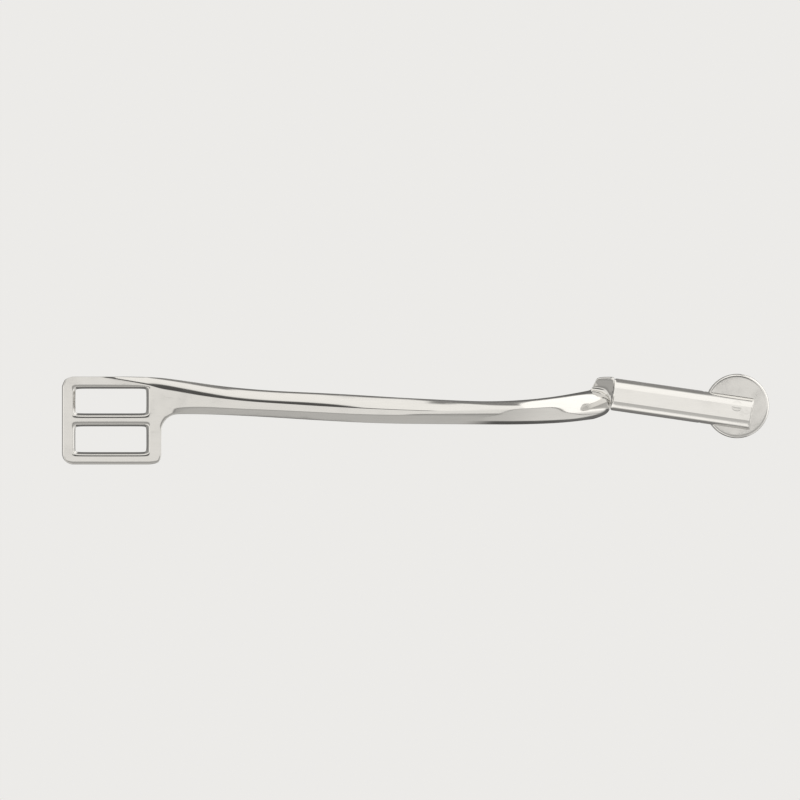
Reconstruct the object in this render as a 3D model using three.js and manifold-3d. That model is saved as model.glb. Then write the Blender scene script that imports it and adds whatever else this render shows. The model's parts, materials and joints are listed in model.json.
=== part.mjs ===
// An English riding spur with a smooth disc wheel, in millimetres.
//
// It is a heel band (a U-shaped yoke whose branches end in flat plates, each with two
// strap slots), a forked neck riveted into the back of the band, a smooth disc between
// the fork's tines, and the rivet that the disc turns on.
//
// +Z is up as the spur is worn, +X points back along the neck, and the origin lies
// under the middle of the whole spur, level with the lower edges of the strap plates.

import * as THREE from 'three';
import { mergeVertices } from 'three/addons/utils/BufferGeometryUtils.js';
import Module from 'manifold-3d';

// Heel band, seen from above
const FRONT_X = -68; // front edges of the strap plates
const HEEL_CENTRE_X = -1.4; // centre of the heel's half circle
const INNER_RADIUS = 35; // the heel's inside, and half the width between the branches
const BRANCH_THICKNESS = 3.2;
const HEEL_THICKNESS = 3.8;
const EDGE_THICKNESS = 0.6; // what the rounded outside leaves at the upper and lower edges

// Heel band, seen from the side: heights of its upper and lower edges along x
const UPPER_EDGE = { x: [-60, -54, -45.3, -37.6, -31.8, -14.5, 2.8, 16, 25.9, 33.6],
  z: [16.9, 16.9, 16.3, 15.15, 14.5, 13.55, 12.55, 12.15, 12.95, 14.3] };
const LOWER_EDGE = { x: [-51, -43, -31.8, -20.3, -8.7, 8.6, 22, 28, 33.6],
  z: [9.7, 9.7, 9.3, 8.6, 8, 7.75, 7.75, 8.05, 8.7] };

// Strap plates
const PLATE_LENGTH = 19.1;
const PLATE_HEIGHT = 16.9;
const PLATE_THICKNESS = 2.6;
const PLATE_CORNER = { upperFront: 2.1, lowerFront: 2.5, lowerBack: 1.5 };
const PLATE_FILLET = 3.3; // between the plate's back edge and the band's lower edge
const PLATE_END_X = -45.6; // where the flat plate gives way to the rounded band
const ROUND_FROM_X = -38; // the band's outside is fully rounded behind this
const SLOT = { length: 14.4, height: 5.7, corner: 0.6 };
const FRONT_BAR = 2.2; // metal in front of the slots
const LOWER_BAR = 2;
const MIDDLE_BAR = 1.75;

// Neck, measured from the middle of its root face
const ROOT_X = 37.88;
const ROOT_Z = 13.52;
const NECK_SLOPE = THREE.MathUtils.degToRad(8.2);
const NECK = { length: 27.1, height: 6.2, width: 7, corner: 1.8 };
const LUG = { front: 34, topFront: 35, topBack: 37.95, top: 16.85, width: 6.6 };
const TENON = { radius: 1.5, z: 12.1, headRadius: 2.1, headDepth: 0.8 };

// Disc and its rivet
const DISC = { radius: 6.2, thickness: 2.4, rim: 0.8, fromRoot: 24, aboveAxis: 1.15 };
const PIN = { radius: 1.1, headRadius: 1.6, headDepth: 0.6 };
const FORK_SLOT = { width: 3, radius: 6.7 };

const GAP = 0.3; // clearance between neighbouring pieces
const HEAD_RECESS = 0.1; // the tenon's head lies this far behind the heel's inner face

const wasm = await Module();
wasm.setup();

const upperEdge = new THREE.CubicInterpolant(UPPER_EDGE.x, UPPER_EDGE.z, 1);
const lowerEdge = new THREE.CubicInterpolant(LOWER_EDGE.x, LOWER_EDGE.z, 1);
const heightAt = (edge, x) => edge.evaluate(x)[0];

// The neck's frame: x along its axis from the root face, z across it
const neckPlace = new THREE.Matrix4().makeRotationY(NECK_SLOPE).setPosition(ROOT_X, 0, ROOT_Z);
const discCentre = new THREE.Vector3(DISC.fromRoot, 0, DISC.aboveAxis);

function solidOf(geometry) {
  geometry.deleteAttribute('normal');
  geometry.deleteAttribute('uv');
  const merged = mergeVertices(geometry, 1e-4);
  const vertProperties = merged.getAttribute('position').array;
  const triVerts = Uint32Array.from(merged.getIndex().array);
  return new wasm.Manifold(new wasm.Mesh({ numProp: 3, vertProperties, triVerts }));
}

function geometryOf(solid) {
  const { vertProperties, triVerts } = solid.getMesh();
  const geometry = new THREE.BufferGeometry();
  geometry.setAttribute('position', new THREE.BufferAttribute(vertProperties, 3));
  geometry.setIndex(new THREE.BufferAttribute(triVerts, 1));
  geometry.computeVertexNormals();
  return geometry;
}

// Closed skin through rings of equally many points, each ring convex
function loftGeometry(rings) {
  const count = rings[0].length;
  const last = (rings.length - 1) * count;
  const index = [];
  for (let start = 0; start < last; start += count) {
    for (let j = 0; j < count; j++) {
      const next = (j + 1) % count;
      index.push(start + j, start + next, start + count + next);
      index.push(start + j, start + count + next, start + count + j);
    }
  }
  for (let j = 1; j < count - 1; j++) {
    index.push(0, j + 1, j);
    index.push(last, last + j, last + j + 1);
  }
  const geometry = new THREE.BufferGeometry().setFromPoints(rings.flat());
  geometry.setIndex(index);
  return geometry;
}

// A shape drawn in the XZ plane, given thickness from y = back towards -Y
function slabGeometry(shape, thickness, back, curveSegments = 6) {
  const settings = { depth: thickness, bevelEnabled: false, curveSegments };
  const geometry = new THREE.ExtrudeGeometry(shape, settings);
  return geometry.rotateX(Math.PI / 2).translate(0, back, 0);
}

function roundedRectangle(width, height, corner) {
  const [w, h] = [width / 2, height / 2];
  const shape = new THREE.Shape();
  shape.absarc(w - corner, h - corner, corner, 0, Math.PI / 2);
  shape.absarc(corner - w, h - corner, corner, Math.PI / 2, Math.PI);
  shape.absarc(corner - w, corner - h, corner, Math.PI, 1.5 * Math.PI);
  shape.absarc(w - corner, corner - h, corner, 1.5 * Math.PI, 2 * Math.PI);
  shape.closePath();
  return shape;
}

// A cylinder or cone along Y; radii at its -Y and +Y ends
function roundGeometry(radius, endRadius, length, segments = 32) {
  return new THREE.CylinderGeometry(endRadius, radius, length, segments);
}

// Side outline of a strap plate, with the fillet that leads into the band
function plateOutline() {
  const { upperFront, lowerFront, lowerBack } = PLATE_CORNER;
  const backX = FRONT_X + PLATE_LENGTH;
  const outline = new THREE.Shape();
  outline.absarc(FRONT_X + lowerFront, lowerFront, lowerFront, Math.PI, 1.5 * Math.PI);
  outline.absarc(backX - lowerBack, lowerBack, lowerBack, 1.5 * Math.PI, 2 * Math.PI);
  const filletZ = heightAt(lowerEdge, PLATE_END_X) - PLATE_FILLET;
  outline.absarc(backX + PLATE_FILLET, filletZ, PLATE_FILLET, Math.PI, Math.PI / 2, true);
  const topSteps = 8;
  for (let i = 0; i <= topSteps; i++) {
    const x = THREE.MathUtils.lerp(PLATE_END_X, UPPER_EDGE.x[0], i / topSteps);
    outline.lineTo(x, heightAt(upperEdge, x));
  }
  outline.absarc(FRONT_X + upperFront, PLATE_HEIGHT - upperFront, upperFront, Math.PI / 2, Math.PI);
  outline.closePath();
  return outline;
}

function plateSolid(side) {
  const back = side < 0 ? -INNER_RADIUS : INNER_RADIUS + PLATE_THICKNESS;
  let plate = solidOf(slabGeometry(plateOutline(), PLATE_THICKNESS, back));
  for (const row of [0, 1]) {
    const opening = roundedRectangle(SLOT.length, SLOT.height, SLOT.corner);
    const slot = slabGeometry(opening, 3 * PLATE_THICKNESS, back, 3);
    const slotZ = LOWER_BAR + SLOT.height / 2 + row * (SLOT.height + MIDDLE_BAR);
    slot.translate(FRONT_X + FRONT_BAR + SLOT.length / 2, PLATE_THICKNESS, slotZ);
    plate = plate.subtract(solidOf(slot));
  }
  return plate;
}

// One D-shaped section of the band: flat inside, rounded outside. turn is the angle from
// the heel's rearmost point, so that the outside faces (cos turn, sin turn) in plan.
function bandSection(innerX, innerY, turn) {
  const upper = heightAt(upperEdge, innerX);
  const lower = heightAt(lowerEdge, innerX);
  const rounding = THREE.MathUtils.smoothstep(innerX, PLATE_END_X, ROUND_FROM_X);
  const crown = THREE.MathUtils.lerp(BRANCH_THICKNESS, HEEL_THICKNESS, Math.max(0, Math.cos(turn)));
  const edge = THREE.MathUtils.lerp(PLATE_THICKNESS, EDGE_THICKNESS, rounding);
  const depth = THREE.MathUtils.lerp(PLATE_THICKNESS, crown, rounding);
  const point = (out, z) =>
    new THREE.Vector3(innerX + out * Math.cos(turn), innerY + out * Math.sin(turn), z);
  const ring = [point(0, lower), point(0, upper)];
  const arcSteps = 14;
  for (let i = 0; i <= arcSteps; i++) {
    const angle = Math.PI * (0.5 - i / arcSteps);
    const z = (upper + lower) / 2 + ((upper - lower) / 2) * Math.sin(angle);
    ring.push(point(edge + (depth - edge) * Math.cos(angle), z));
  }
  return ring;
}

// Back along one branch, round the heel, and forward along the other
function bandSolid() {
  const rings = [];
  const branchSteps = 14;
  const heelSteps = 40;
  const startX = PLATE_END_X - 0.5; // a little way into the plate
  for (let i = 0; i < branchSteps; i++) {
    const x = THREE.MathUtils.lerp(startX, HEEL_CENTRE_X, i / branchSteps);
    rings.push(bandSection(x, -INNER_RADIUS, -Math.PI / 2));
  }
  for (let i = 0; i <= heelSteps; i++) {
    const turn = Math.PI * (i / heelSteps - 0.5);
    const x = HEEL_CENTRE_X + INNER_RADIUS * Math.cos(turn);
    rings.push(bandSection(x, INNER_RADIUS * Math.sin(turn), turn));
  }
  for (let i = branchSteps - 1; i >= 0; i--) {
    const x = THREE.MathUtils.lerp(startX, HEEL_CENTRE_X, i / branchSteps);
    rings.push(bandSection(x, INNER_RADIUS, Math.PI / 2));
  }
  return solidOf(loftGeometry(rings));
}

// The raised lug on the heel that carries the upper half of the neck's root
function lugSolid() {
  const shape = new THREE.Shape();
  const foot = 11; // inside the band's own height
  shape.moveTo(LUG.front + 1, foot);
  shape.lineTo(LUG.topBack, foot);
  shape.lineTo(LUG.topBack, LUG.top);
  shape.lineTo(LUG.topFront, LUG.top);
  shape.lineTo(LUG.front, heightAt(upperEdge, LUG.front - EDGE_THICKNESS));
  shape.closePath();
  return solidOf(slabGeometry(shape, LUG.width, LUG.width / 2));
}

// The neck's tenon, through the band, with its head peened into a countersink inside.
// With a gap around it, this is the hole that takes it, open to the inside of the heel.
function tenonSolid(gap) {
  const innerFace = HEEL_CENTRE_X + INNER_RADIUS + HEAD_RECESS;
  const alongX = (frontRadius, backRadius, frontX, backX) => {
    const round = roundGeometry(backRadius, frontRadius, backX - frontX);
    return solidOf(round.rotateZ(Math.PI / 2).translate((frontX + backX) / 2, 0, TENON.z));
  };
  const [shank, head] = [TENON.radius + gap, TENON.headRadius + gap];
  const form = alongX(shank, shank, innerFace, ROOT_X + 1);
  const countersunk = form.add(alongX(head, shank, innerFace, innerFace + TENON.headDepth));
  return gap ? countersunk.add(alongX(head, head, innerFace - 1, innerFace)) : countersunk;
}

function heelBandSolid() {
  const seat = new THREE.BoxGeometry(6, 2 * NECK.width, 2 * NECK.height);
  seat.translate(3 - GAP, 0, 0).applyMatrix4(neckPlace);
  return plateSolid(-1)
    .add(plateSolid(1))
    .add(bandSolid())
    .add(lugSolid())
    .subtract(solidOf(seat))
    .subtract(tenonSolid(GAP));
}

// The plain bar of the neck along its own axis, before the fork is cut
function neckBar() {
  const section = roundedRectangle(NECK.height, NECK.width, NECK.corner);
  const settings = { depth: NECK.length, bevelEnabled: false, curveSegments: 6 };
  const bar = new THREE.ExtrudeGeometry(section, settings);
  return solidOf(bar.rotateY(Math.PI / 2));
}

// The rivet's full form, before its heads are dressed flush with the tines
function pinForm(grow) {
  const shank = roundGeometry(PIN.radius + grow, PIN.radius + grow, NECK.width + 2);
  let form = solidOf(shank.translate(...discCentre));
  for (const side of [-1, 1]) {
    const [inner, outer] = [PIN.radius + grow, PIN.headRadius + grow];
    const head = side < 0
      ? roundGeometry(outer, inner, PIN.headDepth)
      : roundGeometry(inner, outer, PIN.headDepth);
    head.translate(0, side * (NECK.width - PIN.headDepth) / 2, 0);
    form = form.add(solidOf(head.translate(...discCentre)));
  }
  return form;
}

function neckSolid() {
  const { width, radius } = FORK_SLOT;
  const round = roundGeometry(radius, radius, width, 48).translate(...discCentre);
  const open = new THREE.BoxGeometry(2 * radius, width, 2 * radius);
  open.translate(discCentre.x + radius, 0, discCentre.z);
  const tenon = tenonSolid(0).transform(neckPlace.clone().invert().toArray());
  return neckBar()
    .subtract(solidOf(round))
    .subtract(solidOf(open))
    .subtract(pinForm(GAP))
    .add(tenon);
}

function pinSolid() {
  return pinForm(0).intersect(neckBar());
}

// A flat disc with a rounded rim and a bore, turned about Y
function discGeometry() {
  const bore = PIN.radius + GAP;
  const half = DISC.thickness / 2;
  const profile = [new THREE.Vector2(bore, -half)];
  const rimSteps = 6;
  for (const side of [-1, 1]) {
    for (let i = 0; i <= rimSteps; i++) {
      const angle = (Math.PI / 2) * (side < 0 ? i / rimSteps - 1 : i / rimSteps);
      const r = DISC.radius - DISC.rim + DISC.rim * Math.cos(angle);
      profile.push(new THREE.Vector2(r, side * (half - DISC.rim) + DISC.rim * Math.sin(angle)));
    }
  }
  profile.push(new THREE.Vector2(bore, half), new THREE.Vector2(bore, -half));
  return new THREE.LatheGeometry(profile, 48);
}

function steel(color, roughness) {
  return new THREE.MeshStandardMaterial({ color, roughness, metalness: 1 });
}

function piece(name, geometry, material) {
  const mesh = new THREE.Mesh(geometry, material);
  mesh.name = name;
  return mesh;
}

const spur = new THREE.Group();
spur.add(piece('heel_band', geometryOf(heelBandSolid()), steel(0xdcd8d2, 0.12)));

const neck = new THREE.Group();
neck.position.set(ROOT_X, 0, ROOT_Z);
neck.rotation.y = NECK_SLOPE;
neck.add(piece('neck', geometryOf(neckSolid()), steel(0xe8e5e0, 0.14)));
neck.add(piece('disc_pin', geometryOf(pinSolid()), steel(0xe4e1dc, 0.18)));
spur.add(neck);

const disc = piece('disc', discGeometry(), steel(0xd8d5d0, 0.2));
disc.position.copy(discCentre).applyMatrix4(neckPlace);
spur.add(disc);

export default spur;
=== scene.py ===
"""A polished steel riding spur with a smooth disc wheel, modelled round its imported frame."""

import json
import math

import bmesh
import bpy
import numpy as np
from mathutils import Matrix, Vector


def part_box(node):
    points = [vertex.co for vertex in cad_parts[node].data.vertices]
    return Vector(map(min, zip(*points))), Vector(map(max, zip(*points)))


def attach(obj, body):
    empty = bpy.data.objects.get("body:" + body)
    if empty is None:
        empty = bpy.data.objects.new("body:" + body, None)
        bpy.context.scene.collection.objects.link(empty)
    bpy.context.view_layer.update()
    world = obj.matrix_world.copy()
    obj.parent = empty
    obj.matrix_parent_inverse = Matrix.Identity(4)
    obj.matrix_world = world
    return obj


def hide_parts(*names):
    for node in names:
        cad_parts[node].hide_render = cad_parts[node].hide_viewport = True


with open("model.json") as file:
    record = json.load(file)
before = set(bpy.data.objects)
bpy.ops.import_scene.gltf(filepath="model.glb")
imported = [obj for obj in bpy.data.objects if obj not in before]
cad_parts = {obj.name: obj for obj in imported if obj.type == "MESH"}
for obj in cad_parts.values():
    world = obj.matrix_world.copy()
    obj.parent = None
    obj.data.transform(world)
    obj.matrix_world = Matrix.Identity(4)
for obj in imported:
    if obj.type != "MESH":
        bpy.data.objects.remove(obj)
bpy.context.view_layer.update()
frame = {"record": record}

MM = 0.001
BODY_FIXED = "spur_frame"
BODY_WHEEL = "disc_wheel"

# Heel band. All sizes and places here are in millimetres, in the part's own frame: x runs back
# from the toe, y across and z up.
BAND_LO, BAND_HI = (np.array(c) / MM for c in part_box("heel_band"))
FRONT_X = BAND_LO[0]
PLATE_TOP = BAND_HI[2]
INNER_RADIUS = 35.0
HEEL_CENTRE_X = -1.4
HEEL_BACK_X = HEEL_CENTRE_X + INNER_RADIUS  # the back of the inner face
BRANCH_THICKNESS = 3.2
HEEL_THICKNESS = 3.8
PLATE_THICKNESS = 2.6
EDGE_THICKNESS = 0.6
THICKEN_FROM = -46.0  # where the plate's thickness starts to grow to the branch's
THICKEN_LENGTH = 26.0
PLATE_BACK_X = -48.9
FILLET_END_X = -45.6
FILLET_RADIUS = 3.3

# Neck, measured along its own axis from the middle of its root face
ROOT = np.array([37.88, 0.0, 13.52])
NECK_SLOPE = math.radians(8.2)
NECK_LENGTH = 27.1
NECK_HALF_HEIGHT = 3.1
NECK_HALF_WIDTH = 3.5
NECK_FLAT = 1.3  # half the height of its flat sides
TINE_INNER = 1.5
FORK_START = 17.3

# Disc and its rivet
JOINT = frame["record"]["behaviour"]["joints"][0]
DISC_CENTRE = np.array(JOINT["pos_m"]) / MM
DISC_LO, DISC_HI = (np.array(c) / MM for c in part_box("disc"))
DISC_RADIUS = (DISC_HI[0] - DISC_LO[0]) / 2
DISC_HALF = (DISC_HI[1] - DISC_LO[1]) / 2
PIN_RADIUS = 1.1


# ---------------------------------------------------------------- camera

def add_camera():
    """A level view of the near side, with no perspective."""
    view_width = 153.85 * MM
    view_centre = Vector((-3.0, 0, 12.4)) * MM
    distance = 600 * MM
    data = bpy.data.cameras.new("camera")
    data.type = "ORTHO"
    data.ortho_scale = view_width
    data.clip_start = 0.01
    data.clip_end = 10.0
    camera = bpy.data.objects.new("camera", data)
    camera.location = view_centre - Vector((0, distance, 0))
    camera.rotation_euler = (math.radians(90), 0, 0)
    bpy.context.collection.objects.link(camera)
    bpy.context.scene.camera = camera


# ---------------------------------------------------------------- mesh helpers

def smooth_curve(*knots):
    """A smooth height along x through (x, height) knots, level beyond both ends."""
    xs, hs = (np.array(c, float) for c in zip(*knots))
    slopes = np.gradient(hs, xs)

    def at(x):
        x = min(max(x, xs[0]), xs[-1])
        i = min(int(np.searchsorted(xs, x, side="right")), len(xs) - 1) - 1
        step = xs[i + 1] - xs[i]
        t = (x - xs[i]) / step
        start = (2 * t**3 - 3 * t**2 + 1) * hs[i] + (t**3 - 2 * t**2 + t) * step * slopes[i]
        end = (3 * t**2 - 2 * t**3) * hs[i + 1] + (t**3 - t**2) * step * slopes[i + 1]
        return start + end

    return at


def blend(a, b, t):
    """Eases from a to b while t goes from 0 to 1."""
    t = min(max(t, 0.0), 1.0)
    return a + (b - a) * t * t * (3 - 2 * t)


FACES = {  # the corners of a cell's six faces, turned outwards
    (-1, 0, 0): ((0, 0, 0), (0, 0, 1), (0, 1, 1), (0, 1, 0)),
    (1, 0, 0): ((1, 0, 0), (1, 1, 0), (1, 1, 1), (1, 0, 1)),
    (0, -1, 0): ((0, 0, 0), (1, 0, 0), (1, 0, 1), (0, 0, 1)),
    (0, 1, 0): ((0, 1, 0), (0, 1, 1), (1, 1, 1), (1, 1, 0)),
    (0, 0, -1): ((0, 0, 0), (0, 1, 0), (1, 1, 0), (1, 0, 0)),
    (0, 0, 1): ((0, 0, 1), (1, 0, 1), (1, 1, 1), (0, 1, 1)),
}


def cell_mesh(name, solid, place, crease, levels=3):
    """A closed quad skin round the filled cells of a block, as a subdivision surface.

    solid is a 3-D array of filled cells, place(i, j, k) puts a cell corner in millimetres, and
    crease(a, b, ways) gives the sharpness of the edge from corner a to corner b, where faces
    turned those ways meet.
    """
    bm = bmesh.new()
    layer = bm.edges.layers.float.new("crease_edge")
    corners = {}
    meeting = {}

    def corner(key):
        if key not in corners:
            corners[key] = bm.verts.new(Vector(place(*key)) * MM)
        return corners[key]

    for cell in np.argwhere(solid):
        for way, loop in FACES.items():
            beside = cell + way
            inside = all(0 <= b < n for b, n in zip(beside, solid.shape))
            if inside and solid[tuple(beside)]:
                continue
            keys = [tuple(int(c) for c in cell + step) for step in loop]
            bm.faces.new([corner(key) for key in keys])
            for a, b in zip(keys, keys[1:] + keys[:1]):
                meeting.setdefault(frozenset((a, b)), []).append(way)
    for pair, ways in meeting.items():
        a, b = sorted(pair)
        edge = bm.edges.get((corners[a], corners[b]))
        edge[layer] = crease(a, b, frozenset(ways))
        edge.smooth = edge[layer] < 1
    mesh = bpy.data.meshes.new(name)
    bm.to_mesh(mesh)
    bm.free()
    return subdivided(name, mesh, levels)


def subdivided(name, mesh, levels):
    """Puts a mesh in the scene under a subdivision modifier."""
    mesh.polygons.foreach_set("use_smooth", [True] * len(mesh.polygons))
    piece = bpy.data.objects.new(name, mesh)
    bpy.context.collection.objects.link(piece)
    modifier = piece.modifiers.new("smooth", "SUBSURF")
    modifier.levels = modifier.render_levels = levels
    return piece


def turned_mesh(name, profile, segments, centre, levels=2):
    """A closed ring or disc turned about Y.

    profile holds (radius, y) points. It closes on itself, or on the axis if it starts there.
    """
    on_axis = 1e-6
    bm = bmesh.new()
    rings = []
    for r, y in profile:
        if r < on_axis:
            rings.append([bm.verts.new(Vector(centre + (0, y, 0)) * MM)] * segments)
            continue
        angles = [2 * math.pi * i / segments for i in range(segments)]
        points = [centre + (r * math.cos(a), y, r * math.sin(a)) for a in angles]
        rings.append([bm.verts.new(Vector(p) * MM) for p in points])
    pairs = list(zip(rings, rings[1:]))
    if profile[0][0] > on_axis:
        pairs.append((rings[-1], rings[0]))
    for ring, beside in pairs:
        for i in range(segments):
            n = (i + 1) % segments
            loop = [ring[i], ring[n], beside[n], beside[i]]
            unique = [v for j, v in enumerate(loop) if v not in loop[:j]]
            bm.faces.new(unique)
    bmesh.ops.recalc_face_normals(bm, faces=bm.faces)
    mesh = bpy.data.meshes.new(name)
    bm.to_mesh(mesh)
    bm.free()
    return subdivided(name, mesh, levels)


# ---------------------------------------------------------------- heel band

# Side view: the upper and lower edges, and the ridges where the outside starts to turn away
upper_edge = smooth_curve((-60, 16.9), (-54, 16.88), (-49.1, 16.66), (-45.3, 16.2), (-41.4, 15.65),
                          (-37.6, 15.1), (-31.8, 14.5), (-14.5, 13.55), (2.8, 12.55), (16, 12.15),
                          (25.9, 12.95), (33.6, 14.3))
lower_edge = smooth_curve((-46, 9.7), (-43, 9.7), (-31.8, 9.3), (-20.3, 8.6), (-8.7, 8.0),
                          (8.6, 7.75), (22, 7.75), (28, 8.05), (33.6, 8.7))
upper_ridge = smooth_curve((-68, 16.65), (-60, 16.65), (-57, 16.4), (-55.2, 16.1), (-53, 15.65),
                           (-51.4, 15.3), (-49.1, 14.65), (-46.2, 14.15), (-41.4, 13.3),
                           (-38.5, 12.9), (-31.8, 12.15), (-26, 11.75), (-18.3, 11.25),
                           (-7, 10.7), (10, 10.2), (22, 10.4), (33.6, 12.2))
lower_bevel = smooth_curve((-48.9, 0.9), (-47.4, 0.9), (-46.4, 0.97), (-45.6, 1.05), (-44.4, 1.15),
                           (-33.7, 1.2), (-22, 1.4), (-6.8, 1.5), (10, 1.9), (22, 2.2), (33.6, 2.4))
# How thick the band is at those edges, and how steeply the outside leaves the ridges
upper_edge_thickness = smooth_curve((-57, PLATE_THICKNESS), (-55.2, 2.1), (-52.2, 1.8), (-50, 1.5),
                                    (-45.3, 1.0), (-41, 0.7), (-36, EDGE_THICKNESS))
lower_edge_thickness = smooth_curve((-46.9, PLATE_THICKNESS), (-46.2, 2.5), (-45.6, 2.25),
                                    (-44.4, 1.8), (-42.8, 1.2), (-40.8, 0.8),
                                    (-38, EDGE_THICKNESS))
upper_slope = smooth_curve((-55, 0.4), (-52, 0.3), (-49, 0.13), (-45, 0.09), (-40, 0.1),
                           (-36, 0.14), (-14, 0.16), (-7, 0.42), (6, 0.42), (14, 0))
lower_slope = smooth_curve((-38, 0.4), (-28, 0.62), (-4, 0.62), (14, 0))
# How far the rows have opened out from the ridges, which fade out round the heel
lower_spread = smooth_curve((-2, 0), (16, 1))
upper_spread = smooth_curve((6, 0), (18, 1))

# The near half of the band is a bent grid. Columns run from the front of the plate to the middle
# of the heel, rows run upwards, and layers run from the flat inside to the outside.
PLATE_COLUMNS = (FRONT_X, -67.3, -66.4, -65.8, -65.0, -61.5, -58.2, -55.0, -52.2, -51.4, -50.8,
                 -49.5, PLATE_BACK_X)
BAND_COLUMNS = (-47.9, -47.1, -46.3, FILLET_END_X, -44.4, -42.8, -40.8, -38.5, -36, -33, -29,
                -25, -21, -17, -13, -9, -5)
HEEL_TURNS = (-90, -82.5, -75, -67.5, -60, -52.5, -45, -37.5, -30, -22.5, -17, -13, -10,
              -7.8)  # degrees round the heel's centre
LUG_COLUMNS = ((-4.2, 0), (-3.65, 0), (-3.4, 0.1), (-3.25, 0.45), (-3.1, 0.8), (-2.95, 0.97),
               (-2.5, 1), (-1.4, 1), (0, 1))  # y, and how far raised
STRAIGHT_COLUMNS = PLATE_COLUMNS + BAND_COLUMNS
PLATE_END = len(PLATE_COLUMNS) - 1
STRAIGHT = len(STRAIGHT_COLUMNS)
LUG_FIRST = STRAIGHT + len(HEEL_TURNS)
MIDDLE = LUG_FIRST + len(LUG_COLUMNS) - 1
MERGE_COLUMNS = 6  # behind the slots, over which the plate's rows turn into the band's

ROWS = (0, 0.65, 1.45, 2, 2.75, 4.85, 6.95, 7.7, 8.4, 8.75, 9.45, 10.2, 12.3, 14.2, 14.95, 15.3,
        15.65, 15.9, 16.15, 16.4, 16.65, PLATE_TOP)  # heights on the plate
LOWER_ROW, LOWER_RIDGE, UPPER_RIDGE, TOP_ROW = 10, 12, 16, 21  # those that run on into the band
UPPER_SHARES = (0, 0.14, 0.4, 0.68, 0.89, 1)  # of the height above the upper ridge
LOWER_SHARES = (0, 0.5, 1)  # of the height of the lower bevel
LOWER_SPREAD, UPPER_SPREAD = 0.3, 0.2  # shares that the ridge rows open out by round the heel

LAYERS = 4
OUTSIDE = LAYERS - 1
# How far the two layers within the metal stand from its faces, which sets how round its edges
# are: a distance, but no more than a share of the thickness
SUPPORT_INSIDE = 0.35
SUPPORT_OUTSIDE = 0.75
SUPPORT_SHARE = 0.35

# The ridges along the outside are crisp, from where they rise to where they fade out in x
RIDGE_SHARPNESS = 0.75
RIDGE_RISE = {UPPER_RIDGE: (-61, -57), LOWER_RIDGE: (-48, -45)}
RIDGE_FALL = (5, 13)
RIDGE_END_COLUMN = STRAIGHT + 4

SLOT_COLUMNS = (3, 9)
SLOT_ROWS = ((3, 7), (10, 14))
SLOT_DRAFT = (0.42, 0.38, 0.08, 0)  # how much narrower the slots are at each layer, on each side
SLOT_CORNER = 0.15  # more of the same at the slots' corners
BACK_CORNER_SHARE = 0.7  # how round the plate's lower back corner is, beside the front ones

# Corners of the grid, by column and row, that lie on the fillet behind the plate, as degrees
# round its centre, and those just inside its lower end, as x and z
FILLET_CENTRE = (FILLET_END_X, lower_edge(FILLET_END_X) - FILLET_RADIUS)
FILLET_ANGLES = {(12, 6): 172, (12, 7): 164, (12, 8): 155, (12, 9): 145, (12, 10): 134,
                 (13, 10): 122, (14, 10): 111, (15, 10): 100, (16, 10): 90}
FILLET_CORNER = {(11, 10): (-48.51, 9.02), (11, 11): (-48.6, 9.5), (11, 12): (-49.3, 11.2),
                 (12, 11): (-48.07, 9.34), (12, 12): (-48.35, 9.9)}


def bevel_drop(share, depth, chamfer):
    """Falls straight away from a ridge at first, then rounds over: depth below the ridge."""
    slope = min(chamfer, depth)
    return slope * share + (depth - slope) * (1 - math.sqrt(1 - share**2))


def thickness(x, z, crown):
    """How far the outside stands off the flat inside at a place and height round the heel."""
    upper, ridge = upper_edge(x), upper_ridge(x)
    if z > ridge:
        height = upper - ridge
        share = min((z - ridge) / height, 1)
        return crown - bevel_drop(share, crown - upper_edge_thickness(x), upper_slope(x) * height)
    lower, height = lower_edge(x), lower_bevel(x)
    if z < lower + height:
        share = min((lower + height - z) / height, 1)
        return crown - bevel_drop(share, crown - lower_edge_thickness(x), lower_slope(x) * height)
    return crown


def band_height(x, row):
    """The height of one of the band's rows, from its lower edge to its upper edge."""
    lower, upper = lower_edge(x), upper_edge(x)
    low = lower + lower_bevel(x) * (1 - LOWER_SPREAD * lower_spread(x))
    high = upper_ridge(x) + UPPER_SPREAD * upper_spread(x) * (upper - upper_ridge(x))
    if row >= UPPER_RIDGE:
        return high + UPPER_SHARES[row - UPPER_RIDGE] * (upper - high)
    if row <= LOWER_RIDGE:
        return lower + LOWER_SHARES[row - LOWER_ROW] * (low - lower)
    return low + (row - LOWER_RIDGE) / (UPPER_RIDGE - LOWER_RIDGE) * (high - low)


def round_corner(x, z, inner, outer, share=1.0):
    """Bends the square block between its inner and outer corners into a quarter round."""
    u = (x - inner[0]) / (outer[0] - inner[0])
    v = (z - inner[1]) / (outer[1] - inner[1])
    if not (0 <= u <= 1 and 0 <= v <= 1):
        return x, z
    bent_x = inner[0] + (outer[0] - inner[0]) * u * math.sqrt(1 - v * v / 2)
    bent_z = inner[1] + (outer[1] - inner[1]) * v * math.sqrt(1 - u * u / 2)
    return x + (bent_x - x) * share, z + (bent_z - z) * share


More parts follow.
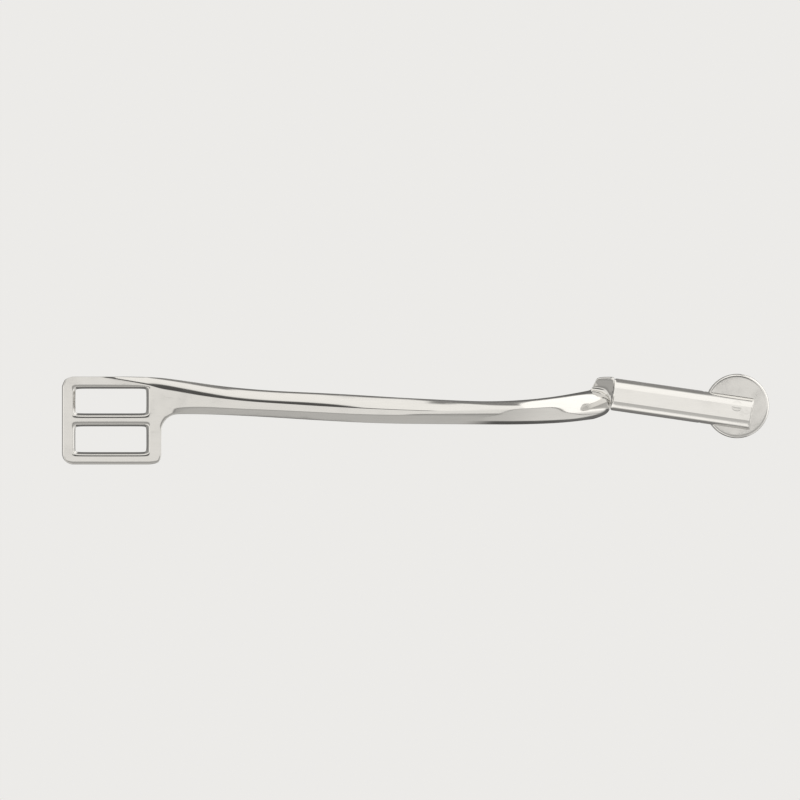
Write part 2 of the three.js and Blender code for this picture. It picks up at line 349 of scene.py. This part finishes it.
def plate_point(column, row):
    """Side-view place of a corner of the plate's grid."""
    x, z = PLATE_COLUMNS[column], ROWS[row]
    front, back = (PLATE_COLUMNS[c] for c in SLOT_COLUMNS)
    slot_low, slot_high = ROWS[SLOT_ROWS[0][0]], ROWS[SLOT_ROWS[1][1]]
    if row > SLOT_ROWS[1][1]:
        ridge = upper_ridge(x)
        if row >= UPPER_RIDGE:
            share = (z - ROWS[UPPER_RIDGE]) / (PLATE_TOP - ROWS[UPPER_RIDGE])
            z = ridge + share * (upper_edge(x) - ridge)
        else:
            z = slot_high + min(z - slot_high, (ridge - slot_high) / 2)
    x, z = round_corner(x, z, (front, slot_low), (FRONT_X, 0))
    x, z = round_corner(x, z, (front, slot_high), (FRONT_X, PLATE_TOP))
    return round_corner(x, z, (back, slot_low), (PLATE_BACK_X, 0), share=BACK_CORNER_SHARE)


def fillet_point(angle, offset=0.0):
    """Side-view place on the fillet behind the plate, offset from it into the metal."""
    a, radius = math.radians(angle), FILLET_RADIUS + offset
    return FILLET_CENTRE[0] + radius * math.cos(a), FILLET_CENTRE[1] + radius * math.sin(a)


def side_point(column, row):
    """Side-view place of a corner of the near branch's grid, plate and straight band alike."""
    if (column, row) in FILLET_CORNER:
        return FILLET_CORNER[column, row]
    if (column, row) in FILLET_ANGLES:
        return fillet_point(FILLET_ANGLES[column, row])
    if (column + 1, row) in FILLET_ANGLES and column + 1 == PLATE_END:
        return fillet_point(FILLET_ANGLES[PLATE_END, row], PLATE_COLUMNS[-1] - PLATE_COLUMNS[-2])
    x = STRAIGHT_COLUMNS[column]
    if (column, LOWER_ROW) in FILLET_ANGLES and LOWER_ROW < row <= LOWER_RIDGE:
        offset = LOWER_SHARES[row - LOWER_ROW] * lower_bevel(x)
        return fillet_point(FILLET_ANGLES[column, LOWER_ROW], offset)
    slots_end = SLOT_COLUMNS[1]
    if column < slots_end or row < LOWER_ROW:
        return plate_point(column, row)
    if row >= UPPER_RIDGE:
        return x, band_height(x, row)
    plate_z = plate_point(column, row)[1] if column <= PLATE_END else ROWS[row]
    return x, blend(plate_z, band_height(x, row), (column - slots_end) / MERGE_COLUMNS)


def side_thickness(column, row, x):
    """The near branch's thickness, told by row so that its ridges run along the grid."""
    crown = blend(PLATE_THICKNESS, BRANCH_THICKNESS, (x - THICKEN_FROM) / THICKEN_LENGTH)
    if row > UPPER_RIDGE:
        share = UPPER_SHARES[row - UPPER_RIDGE]
        height = upper_edge(x) - upper_ridge(x)
        depth = crown - upper_edge_thickness(x)
        return crown - bevel_drop(share, depth, upper_slope(x) * height)
    if row < LOWER_RIDGE and column >= PLATE_END:
        share = 1 - LOWER_SHARES[max(row, LOWER_ROW) - LOWER_ROW]
        depth = crown - lower_edge_thickness(x)
        return crown - bevel_drop(share, depth, lower_slope(x) * lower_bevel(x))
    return crown


# The lug: its front starts at an x and z and slopes up to where the level top starts
LUG_FRONT = (33.75, 14.4)
LUG_TOP_FRONT = 35.05
LUG_TOP = 16.85
LUG_FRONT_SHARES = (0, 0.25, 0.75, 1)  # of the way up that slope, at each layer
LUG_TOP_ROWS = {20: 37.4}  # x of the outside's rows on the top
LUG_SEAT_ROWS = {13: 11.0, 14: 11.6, 15: 12.2, 16: 12.9, 17: 14.1, 18: 15.7, 19: LUG_TOP}  # z
LUG_HALF_WIDTH = 3.25  # at the height of the band's upper edge
LUG_LEAN = 0.15  # how fast the lug widens upwards
LUG_SIDE_RISE = 1.2  # a corner lifted this far from the band is wholly on the lug's side
SEAT_GAP = 0.03


def seat_x(z):
    """Where the neck's root plane is at height z, less a hair."""
    return ROOT[0] + (z - ROOT[2]) * math.tan(NECK_SLOPE) - SEAT_GAP


def heel_point(turn, depth, z, step=0.0):
    """A place at a turn round the heel, depth outside its inner face.

    step is the turn between columns here: smoothing draws a coarse round in, so it starts wider.
    """
    radius = (INNER_RADIUS + depth) / (1 - (1 - math.cos(step)) / 3)
    return HEEL_CENTRE_X + radius * math.cos(turn), radius * math.sin(turn), z


def lug_point(y, layer, row):
    """Under the neck the heel's outside is raised into a lug with a flat seat and a level top."""
    inner_x = HEEL_CENTRE_X + math.sqrt(INNER_RADIUS**2 - y**2)
    z = min(band_height(HEEL_BACK_X, row), LUG_FRONT[1])
    if row == TOP_ROW:
        front_x, front_z = LUG_FRONT
        share = LUG_FRONT_SHARES[layer]
        return front_x + share * (LUG_TOP_FRONT - front_x), y, front_z + share * (LUG_TOP - front_z)
    if layer == OUTSIDE and row in LUG_TOP_ROWS:
        return LUG_TOP_ROWS[row], y, LUG_TOP
    if layer == OUTSIDE and row in LUG_SEAT_ROWS:
        return seat_x(LUG_SEAT_ROWS[row]), y, LUG_SEAT_ROWS[row]
    out = thickness(HEEL_BACK_X, z, HEEL_THICKNESS)
    return inner_x + layer_depth(out, layer), y, z


def layer_depth(full, layer):
    """How far one of the layers is from the flat inside, where the metal is full thick."""
    most = SUPPORT_SHARE * full
    return (0, min(SUPPORT_INSIDE, most), full - min(SUPPORT_OUTSIDE, most), full)[layer]


def slot_inward(column, row):
    """Which way, along x and z, a corner on a slot's rim faces its opening."""
    for low, high in SLOT_ROWS:
        front, back = SLOT_COLUMNS
        if front <= column <= back and low <= row <= high:
            along = (column == front) - (column == back)
            return along, (row == low) - (row == high)
    return 0, 0


def straight_point(column, layer, row):
    """Where a corner of the grid is on the plate and the straight branch."""
    x, z = side_point(column, row)
    depth = layer_depth(side_thickness(column, row, x), layer)
    inward_x, inward_z = slot_inward(column, row)
    draft = SLOT_DRAFT[layer] + (SLOT_CORNER if inward_x and inward_z else 0)
    return x + draft * inward_x, -INNER_RADIUS - depth, z + draft * inward_z


def round_point(index, layer, row):
    """Where a corner is round the heel, at one of its turns."""
    turn = math.radians(HEEL_TURNS[index])
    ahead = HEEL_TURNS[min(index + 1, len(HEEL_TURNS) - 1)]
    behind = HEEL_TURNS[max(index - 1, 0)]
    inner_x = HEEL_CENTRE_X + INNER_RADIUS * math.cos(turn)
    z = band_height(inner_x, row)
    crown = BRANCH_THICKNESS + (HEEL_THICKNESS - BRANCH_THICKNESS) * math.cos(turn)
    depth = layer_depth(thickness(inner_x, z, crown), layer)
    return heel_point(turn, depth, z, math.radians(ahead - behind) / 2)


def back_point(y, raised, layer, row):
    """Where a corner is at the back of the heel, raised from it towards the lug by a share."""
    z = band_height(HEEL_BACK_X, row)
    depth = layer_depth(thickness(HEEL_BACK_X, z, HEEL_THICKNESS), layer)
    foot = heel_point(math.asin(y / (INNER_RADIUS + depth)), depth, z)
    lifted = lug_point(y, layer, row)
    x, _, z = (f + raised * (p - f) for f, p in zip(foot, lifted))
    on_side = min(1.0, math.dist(foot, lifted) / LUG_SIDE_RISE) if 0 < raised < 1 else 0.0
    side_y = -LUG_HALF_WIDTH - LUG_LEAN * (z - LUG_FRONT[1])
    return x, y + on_side * (side_y - y), z


def near_point(column, layer, row):
    """Where a corner of the near half of the band's grid is."""
    if column < STRAIGHT:
        return straight_point(column, layer, row)
    if column < LUG_FIRST:
        return round_point(column - STRAIGHT, layer, row)
    return back_point(*LUG_COLUMNS[column - LUG_FIRST], layer, row)


def make_heel_band():
    """The yoke, its plates and its lug as one skin. The far half mirrors the near one."""
    columns = 2 * MIDDLE
    solid = np.zeros((columns, OUTSIDE, TOP_ROW), bool)
    solid[:, :, LOWER_ROW:] = True
    solid[:PLATE_END] = solid[columns - PLATE_END:] = True
    front, back = SLOT_COLUMNS
    for low, high in SLOT_ROWS:
        solid[front:back, :, low:high] = False
        solid[columns - back:columns - front, :, low:high] = False

    def place(i, j, k):
        x, y, z = near_point(min(i, columns - i), j, k)
        return (x, y, z) if i <= MIDDLE else (x, -y, z)

    def crease(a, b, ways):
        """Only the ridges along the outside of the straight band are crisp."""
        along_outside = a[1] == b[1] == OUTSIDE and a[2] == b[2]
        if not along_outside or a[2] not in (UPPER_RIDGE, LOWER_RIDGE):
            return 0.0
        column = min(a[0], columns - a[0])
        if column >= RIDGE_END_COLUMN:
            return 0.0
        x = near_point(column, OUTSIDE, a[2])[0]
        rise_from, rise_to = RIDGE_RISE[a[2]]
        fall_from, fall_to = RIDGE_FALL
        rise = blend(0, 1, (x - rise_from) / (rise_to - rise_from))
        fall = blend(1, 0, (x - fall_from) / (fall_to - fall_from))
        return RIDGE_SHARPNESS * min(rise, fall)

    return cell_mesh("heel_band_polished", solid, place, crease, levels=2)


# ---------------------------------------------------------------- neck

def neck_to_part(s, y, t):
    """From the neck's own frame, along and across its axis, to the part's."""
    c, n = math.cos(NECK_SLOPE), math.sin(NECK_SLOPE)
    return ROOT[0] + s * c + t * n, y, ROOT[2] - s * n + t * c


NECK_STATIONS = (0, 0.65, 1.8, 4.5, 9, 13.5, 16.8, FORK_START, 17.8, 20.5, 23.5, 25.8, 26.6,
                 NECK_LENGTH)
NECK_ACROSS = (-NECK_HALF_WIDTH, -2.5, -TINE_INNER, 0, TINE_INNER, 2.5, NECK_HALF_WIDTH)
NECK_UP = (-NECK_HALF_HEIGHT, -2.6, -2.0, -NECK_FLAT, 0, NECK_FLAT, 2.0, 2.6, NECK_HALF_HEIGHT)
NECK_RIDGES = (3, 5)  # rows where the flat sides end
NECK_TINES = (2, 4)  # places across where the tines' inner faces are
TINE_SHARPNESS = 0.55
NECK_TURN = math.radians(20)  # how far the surface turns at the ridges
NECK_ARC = (NECK_HALF_HEIGHT - NECK_FLAT) / (1 - math.sin(NECK_TURN))
# Where the section's corners lie on the arcs between flat sides and top, in degrees
NECK_ANGLES = {(2.5, NECK_HALF_HEIGHT): 69, (TINE_INNER, NECK_HALF_HEIGHT): 83,
               (NECK_HALF_WIDTH, 2.0): 31, (NECK_HALF_WIDTH, 2.6): 43,
               (NECK_HALF_WIDTH, NECK_HALF_HEIGHT): 56}


def neck_section(y, t):
    """Rounds the four long corners of the neck's section."""
    side, top = math.copysign(1, y), math.copysign(1, t)
    if (abs(y), abs(t)) in NECK_ANGLES:
        angle = math.radians(NECK_ANGLES[abs(y), abs(t)])
        bent_y = NECK_HALF_WIDTH - NECK_ARC * (math.cos(NECK_TURN) - math.cos(angle))
        bent_t = NECK_HALF_HEIGHT - NECK_ARC * (1 - math.sin(angle))
        return side * bent_y, top * bent_t
    inner, outer = (TINE_INNER, NECK_FLAT), (NECK_HALF_WIDTH, NECK_HALF_HEIGHT)
    bent_y, bent_t = round_corner(abs(y), abs(t), inner, outer)
    return side * bent_y, top * bent_t


def make_neck():
    """The neck's bar, flat on its sides and rounded above and below, with its fork."""
    solid = np.ones((len(NECK_STATIONS) - 1, len(NECK_ACROSS) - 1, len(NECK_UP) - 1), bool)
    fork = NECK_STATIONS.index(FORK_START)
    solid[fork:, slice(*NECK_TINES), :] = False
    sides = (0, len(NECK_ACROSS) - 1)

    def place(i, j, k):
        y, t = neck_section(NECK_ACROSS[j], NECK_UP[k])
        return neck_to_part(NECK_STATIONS[i], y, t)

    def crease(a, b, ways):
        """The long ridges are sharp, and the tines' inner edges are nearly so."""
        along = a[1:] == b[1:]
        if along and a[1] in sides and a[2] in NECK_RIDGES:
            return 1.0
        on_tines = a[0] >= fork and a[1] in NECK_TINES and b[1] in NECK_TINES
        edge = len(ways) > 1 and any(way[1] for way in ways)
        return TINE_SHARPNESS if on_tines and edge else 0.0

    return cell_mesh("neck_polished", solid, place, crease)


def make_tenon_head():
    """The peened end of the neck's tenon, just proud of the heel's inner face."""
    radius, depth, height = 2.1, 0.6, 12.1
    profile = [(0, -0.05), (1.3, -0.04), (1.95, 0), (radius, 0.12), (radius, depth), (0, depth)]
    head = turned_mesh("neck_tenon_head", profile, 32, np.zeros(3))
    to_heel = Matrix.Translation(Vector((HEEL_BACK_X, 0, height)) * MM)
    head.data.transform(to_heel @ Matrix.Rotation(math.radians(-90), 4, "Z"))
    return head


# ---------------------------------------------------------------- disc and rivet

def make_disc():
    """The disc: flat faces, a rounded rim and a bore a little wider than the rivet."""
    half, rim, bore = DISC_HALF, 0.35, PIN_RADIUS + 0.12
    rim_start = DISC_RADIUS - rim
    rim_swell = 1.01  # smoothing draws the rim in a little
    face = [(bore, 0.1 - half), (bore + 0.1, -half), (bore + 0.5, -half), (3.2, -half),
            (rim_start - 0.5, -half), (rim_start, -half)]
    turns = (math.radians(angle) for angle in (-60, -30, 0, 30, 60))
    edge = [(rim_start + rim * rim_swell * math.cos(a), half * math.sin(a)) for a in turns]
    other_face = [(r, -y) for r, y in reversed(face)]
    return turned_mesh("disc_polished", face + edge + other_face, 64, DISC_CENTRE)


def make_pin():
    """The rivet, its ends dressed to the neck's rounded faces."""
    across = (-1, -0.93, -0.6, 0, 0.6, 0.93, 1)
    solid = np.ones((len(across) - 1, 3, len(across) - 1), bool)
    along_neck, above_axis = 24.0, 1.15
    proud, edge_depth = 0.008, 0.02  # of the neck's surface, in the middle and at the edge
    support = 0.1

    def neck_face(t):
        """How far out the neck's surface is at a height on it."""
        if t <= NECK_FLAT:
            return NECK_HALF_WIDTH
        sine = (t - NECK_FLAT) / NECK_ARC + math.sin(NECK_TURN)
        return NECK_HALF_WIDTH - NECK_ARC * (math.cos(NECK_TURN) - math.sqrt(1 - sine**2))

    def place(i, j, k):
        u, v = across[i], across[k]
        s = along_neck + PIN_RADIUS * u * math.sqrt(1 - v * v / 2)
        t = above_axis + PIN_RADIUS * v * math.sqrt(1 - u * u / 2)
        on_edge = max(abs(u), abs(v)) == 1
        face = neck_face(t) + (-edge_depth if on_edge else proud)
        y = (-face, support - face, face - support, face)[j]
        return neck_to_part(s, y, t)

    return cell_mesh("disc_pin_polished", solid, place, lambda a, b, ways: 0.0, levels=2)


# ---------------------------------------------------------------- shader graphs

class Graph:
    """Adds nodes to a tree and joins them up. An input is a number or another node's output."""

    def __init__(self, tree):
        self.tree = tree

    def add(self, kind, inputs=(), **settings):
        node = self.tree.nodes.new(kind)
        for name, value in settings.items():
            setattr(node, name, value)
        for name, value in dict(inputs).items():
            self.set(node.inputs[name], value)
        return node

    def set(self, socket, value):
        if isinstance(value, bpy.types.NodeSocket):
            self.tree.links.new(value, socket)
        else:
            socket.default_value = value

    def math(self, operation, *values):
        return self.add("ShaderNodeMath", enumerate(values), operation=operation).outputs[0]

    def product(self, a, b):
        return self.math("MULTIPLY", a, b)

    def total(self, *terms):
        """Adds up (value, weight) pairs."""
        first, *others = (self.product(value, weight) for value, weight in terms)
        for other in others:
            first = self.math("ADD", first, other)
        return first

    def vector(self, operation, value, by):
        sockets = {0: value, "Scale" if operation == "SCALE" else 1: by}
        return self.add("ShaderNodeVectorMath", sockets, operation=operation).outputs[0]

    def noise(self, vector, scale, detail):
        sockets = {"Vector": vector, "Scale": scale, "Detail": detail}
        return self.add("ShaderNodeTexNoise", sockets).outputs["Fac"]

    def ramp(self, value, start, end, low=0.0, high=1.0):
        """Eases from low to high while value goes from start to end."""
        if start > end:
            start, end, low, high = end, start, high, low
        sockets = {"Value": value, "From Min": start, "From Max": end,
                   "To Min": low, "To Max": high}
        node = self.add("ShaderNodeMapRange", sockets, interpolation_type="SMOOTHSTEP")
        return node.outputs["Result"]

    def within(self, value, low, high, soft):
        """1 between low and high, fading to 0 over soft on both sides of each."""
        rise = self.ramp(value, low - soft, low + soft)
        return self.product(rise, self.ramp(value, high - soft, high + soft, 1.0, 0.0))

    def blend(self, share, a, b):
        sockets = {"Factor": share, "A": a, "B": b}
        return self.add("ShaderNodeMix", sockets, data_type="FLOAT").outputs[0]

    def light(self, colour, strength=1.0):
        sockets = {"Color": colour, "Strength": strength}
        return self.add("ShaderNodeBackground", sockets).outputs[0]

    def either(self, share, a, b):
        """Shader a, or b where share is 1."""
        return self.add("ShaderNodeMixShader", {0: share, 1: a, 2: b}).outputs[0]


# ---------------------------------------------------------------- materials

# How fine each kind of mark on the steel is, and how much detail it has
WAVES = {"scale": 130.0, "detail": 1.0}
LINES = {"scale": 260.0, "detail": 5.0}
HAIRS = {"scale": 140.0, "detail": 2.0}
SMUDGES = {"scale": 210.0, "detail": 4.0}
SPECKS = {"scale": 1900.0, "detail": 2.0}
HAIR_WIDTH = 0.012  # in the noise's own height
BUMP_DEPTH = 0.03 * MM
SEED_STEP = (0.37, 0.61, 0.23)


def steel(name, colour, roughness, grain, seed):
    """Polished steel: faint waves from hand polishing, drawn-out hairlines and handling marks.

    grain stretches the polishing lines: how many times finer they are along x, y and z.
    """
    material = bpy.data.materials.new(name)
    material.use_nodes = True
    tree = material.node_tree
    shader = tree.nodes["Principled BSDF"]
    shader.inputs["Metallic"].default_value = 1.0
    graph = Graph(tree)
    place = graph.add("ShaderNodeTexCoord").outputs["Object"]
    point = graph.vector("ADD", place, tuple(step * seed for step in SEED_STEP))
    drawn = graph.vector("MULTIPLY", point, grain)

    waves = graph.noise(point, **WAVES)
    lines = graph.noise(drawn, **LINES)
    smudges = graph.noise(point, **SMUDGES)
    specks = graph.noise(point, **SPECKS)
    from_hair = graph.math("SUBTRACT", graph.noise(drawn, **HAIRS), 0.5)
    hairlines = graph.ramp(graph.math("ABSOLUTE", from_hair), HAIR_WIDTH, 0.0)
    marks = graph.product(hairlines, graph.ramp(smudges, 0.5, 0.62))

    dull = graph.total((graph.ramp(smudges, 0.42, 0.72), 0.07), (lines, 0.05), (marks, 0.07))
    graph.set(shader.inputs["Roughness"], graph.math("ADD", dull, roughness))

    pale = graph.ramp(lines, 0.3, 0.7, 0.97, 1.0)
    shade = graph.total((pale, 1.0), (graph.ramp(specks, 0.7, 0.78), -0.06))
    graph.set(shader.inputs["Base Color"], graph.vector("SCALE", colour, shade))

    height = graph.total((waves, 1.0), (lines, 0.035), (marks, -0.008))
    relief = {"Height": height, "Strength": 1.0, "Distance": BUMP_DEPTH}
    bump = graph.add("ShaderNodeBump", relief)
    graph.set(shader.inputs["Normal"], bump.outputs["Normal"])
    return material


# ---------------------------------------------------------------- studio

BACKGROUND = (0.84, 0.83, 0.81, 1)
FLOOR_COLOUR = (0.771, 0.774, 0.788, 1)
FLOOR_HALF_WIDTH = 1500 * MM
WARM = (1.0, 0.98, 0.94, 1)
DEGREES = 180 / math.pi


def add_floor():
    half = FLOOR_HALF_WIDTH
    corners = [(-half, -half, 0), (half, -half, 0), (half, half, 0), (-half, half, 0)]
    mesh = bpy.data.meshes.new("floor")
    mesh.from_pydata(corners, [], [(0, 1, 2, 3)])
    floor = bpy.data.objects.new("floor", mesh)
    bpy.context.collection.objects.link(floor)
    material = bpy.data.materials.new("floor")
    material.use_nodes = True
    shader = material.node_tree.nodes["Principled BSDF"]
    shader.inputs["Base Color"].default_value = FLOOR_COLOUR
    shader.inputs["Roughness"].default_value = 0.8
    mesh.materials.append(material)
    floor.visible_glossy = False  # the steel mirrors the surroundings below, not the floor's edge


def studio_tone(graph, x, y, z):
    """How bright the studio is in a direction, as the steel mirrors it.

    The direction is told by the lean of a mirror that would send it forwards, in degrees: turned
    to the right and tilted upwards.
    """
    forward = graph.math("SUBTRACT", 1.0, y)
    level = graph.math("ADD", graph.product(x, x), graph.product(forward, forward))
    level = graph.math("SQRT", level)
    turn = graph.product(graph.math("ARCTAN2", x, forward), DEGREES)
    tilt = graph.product(graph.math("ARCTAN2", z, level), DEGREES)
    facing = graph.math("SQRT", graph.product(forward, 0.5))
    both = graph.product

    # How far the direction is past the slanting borders of some parts
    panel_top = graph.math("ADD", graph.ramp(turn, 17, 34, -40, 22),
                           graph.ramp(turn, 38, 67, 0, -60))
    over_panel = graph.math("SUBTRACT", tilt, panel_top)
    into_softbox = graph.math("SUBTRACT", turn, graph.ramp(tilt, 15, 60, 34.5, 31))
    into_wedge = graph.math("SUBTRACT", tilt, graph.ramp(turn, 8, 35, 60, 44))
    towards_top = graph.math("SUBTRACT", tilt, graph.ramp(turn, 5, 30, 0, 8))
    neck_line = graph.math("SUBTRACT", x, graph.product(z, math.tan(NECK_SLOPE)))
    off_neck = graph.math("ABSOLUTE", neck_line)

    ground = graph.ramp(tilt, -12, -40, 0.44, 0.52)
    ground = graph.blend(graph.within(tilt, -7.5, -2, 1.5), ground, 0.32)
    panel = graph.ramp(turn, 24, 46, 0.58, 0.75)
    panel = graph.blend(graph.within(over_panel, -4, 0, 1.5), panel, 0.3)
    softbox = graph.ramp(tilt, -32, -8, 0.72, 1.26)

    # Where each part is and its tone. Each hides those before it.
    parts = (
        # the ground
        (graph.ramp(tilt, -1, -3), ground),
        # the dark gap in front, which draws the band's streak
        (both(graph.within(tilt, 3, 19, 2), graph.ramp(turn, 8, 4)), 0.09),
        # a bright strip on the left with the dark beyond it
        (graph.within(turn, -26, -12, 4), 1.05),
        (graph.ramp(turn, -27, -38), 0.36),
        # a grey panel low on the right, with a darker rim
        (both(graph.ramp(turn, 18, 24), graph.ramp(over_panel, 1, -1)), panel),
        # a dark wedge in the ceiling
        (both(graph.ramp(into_wedge, -4, 4), graph.ramp(turn, 5, 9)), 0.26),
        # a dark strip overhead, square to the neck's top
        (both(graph.ramp(off_neck, 0.05, 0.03), graph.ramp(tilt, 43, 52)), 0.24),
        # the softbox over the panel
        (both(graph.ramp(into_softbox, -0.5, 0.5), graph.ramp(over_panel, -1, 1)), softbox),
        # a white strip low on the left and the dark under it, which line the neck's underside
        (both(graph.within(tilt, -49, -33, 3), graph.within(turn, -14, -6, 0.4)), 0.98),
        (both(graph.ramp(tilt, -48, -56), graph.ramp(turn, -8, -11)), 0.2),
        # the dark overhead, underfoot and behind, which outlines the steel
        (graph.ramp(towards_top, 62, 72), 0.18),
        (graph.ramp(tilt, -70, -80), 0.18),
        (both(graph.ramp(tilt, -61, -67), graph.ramp(turn, 14, 26)), 0.1),
        (graph.ramp(facing, 0.23, 0.15), 0.14),
    )
    tone = graph.ramp(tilt, 10, 30, 0.86, 1.0)  # the wall, and the ceiling
    for where, part in parts:
        tone = graph.blend(where, tone, part)
    return tone


def add_world():
    """A soft studio for the steel to mirror, an even sky for the floor and a plain background."""
    world = bpy.data.worlds.new("studio")
    bpy.context.scene.world = world
    world.use_nodes = True
    tree = world.node_tree
    tree.nodes.clear()
    graph = Graph(tree)
    toward = graph.add("ShaderNodeTexCoord").outputs["Generated"]
    x, y, z = graph.add("ShaderNodeSeparateXYZ", {"Vector": toward}).outputs
    studio = graph.light(WARM, studio_tone(graph, x, y, z))
    sky = graph.light(WARM, graph.ramp(z, 0, 1, 0.55, 1.35))
    path = graph.add("ShaderNodeLightPath").outputs
    around = graph.either(path["Is Diffuse Ray"], studio, sky)
    everything = graph.either(path["Is Camera Ray"], around, graph.light(BACKGROUND))
    graph.add("ShaderNodeOutputWorld", {"Surface": everything})


# ---------------------------------------------------------------- assembly

bpy.context.scene.view_settings.view_transform = "Standard"
add_camera()
add_floor()
add_world()

# maker, node, body, slot, colour, roughness, polishing direction
PIECES = (
    (make_heel_band, "heel_band", BODY_FIXED, "band_steel", (0.83, 0.82, 0.8), 0.05, (1, 1, 9)),
    (make_neck, "neck", BODY_FIXED, "neck_steel", (0.95, 0.94, 0.92), 0.06, (1, 8, 8)),
    (make_pin, "disc_pin", BODY_FIXED, "pin_steel", (0.9, 0.89, 0.87), 0.09, (4, 4, 4)),
    (make_disc, "disc", BODY_WHEEL, "disc_steel", (0.93, 0.92, 0.9), 0.15, (6, 1, 2)),
)
for seed, (make, node, body, slot, colour, roughness, grain) in enumerate(PIECES):
    piece = make()
    piece.data.materials.append(steel(slot, colour, roughness, grain, seed))
    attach(piece, body)
    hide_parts(node)

tenon_head = make_tenon_head()
tenon_head.data.materials.append(bpy.data.materials["neck_steel"])
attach(tenon_head, BODY_FIXED)
